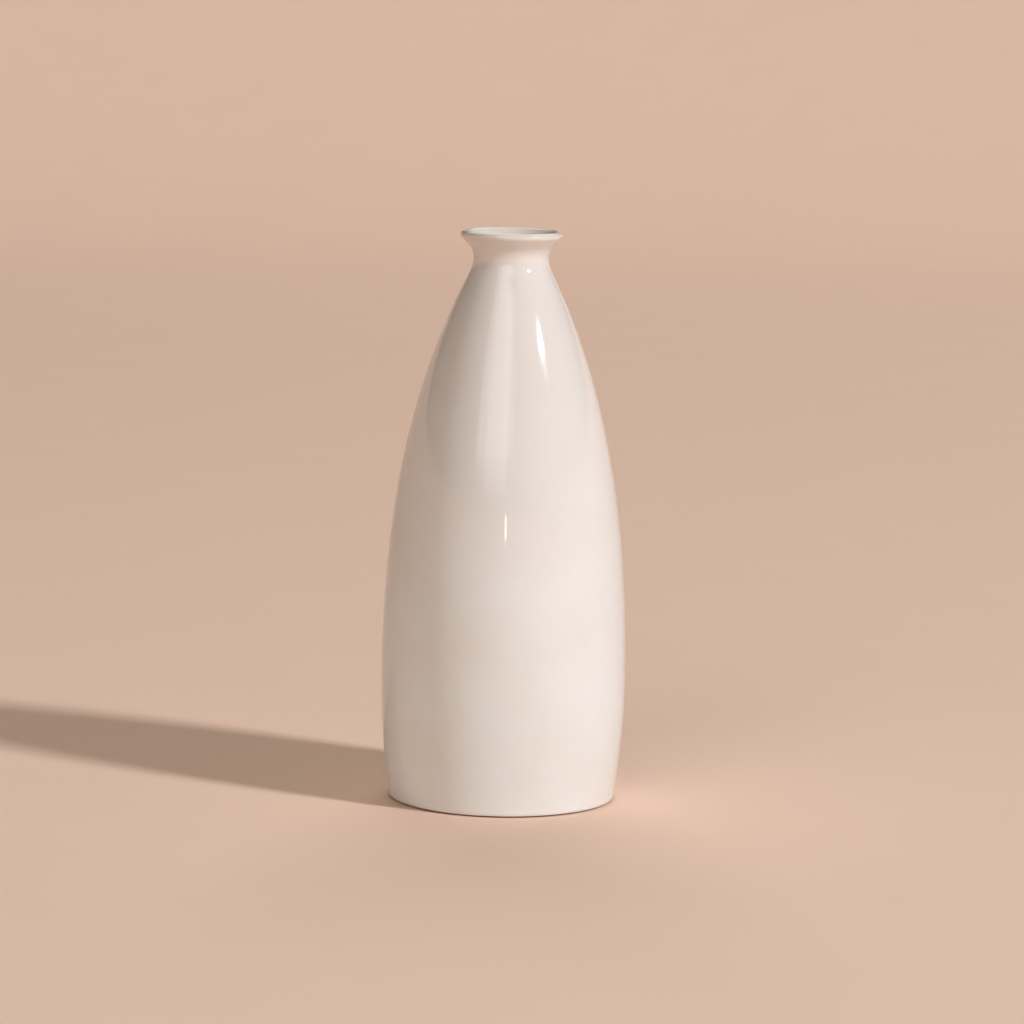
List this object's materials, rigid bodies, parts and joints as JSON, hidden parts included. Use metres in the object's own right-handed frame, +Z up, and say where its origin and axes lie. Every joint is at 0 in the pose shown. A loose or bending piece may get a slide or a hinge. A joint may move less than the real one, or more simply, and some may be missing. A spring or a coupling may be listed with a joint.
{
  "type": "bud vase",
  "caption": "Tall glazed ceramic bud vase: a slender rounded body that tapers to a narrow neck with a flared, rolled lip, on a bare clay foot ring.",
  "frame": {"origin": "centre of the foot, on the surface that the vase stands on", "axes": "+Z up along the axis that the vase is turned about; X and Y are alike"},
  "size_m": [0.086, 0.086, 0.2],
  "materials": {
    "bisque_clay": "matte",
    "ivory_glaze": "gloss",
    "lining_glaze": "gloss",
    "underside_glaze": "gloss"
  },
  "bodies": {
    "root": {"clay_body": "bisque_clay", "outer_glaze": "ivory_glaze", "inner_glaze": "lining_glaze", "underside_glaze": "underside_glaze"}
  },
  "joints": []
}
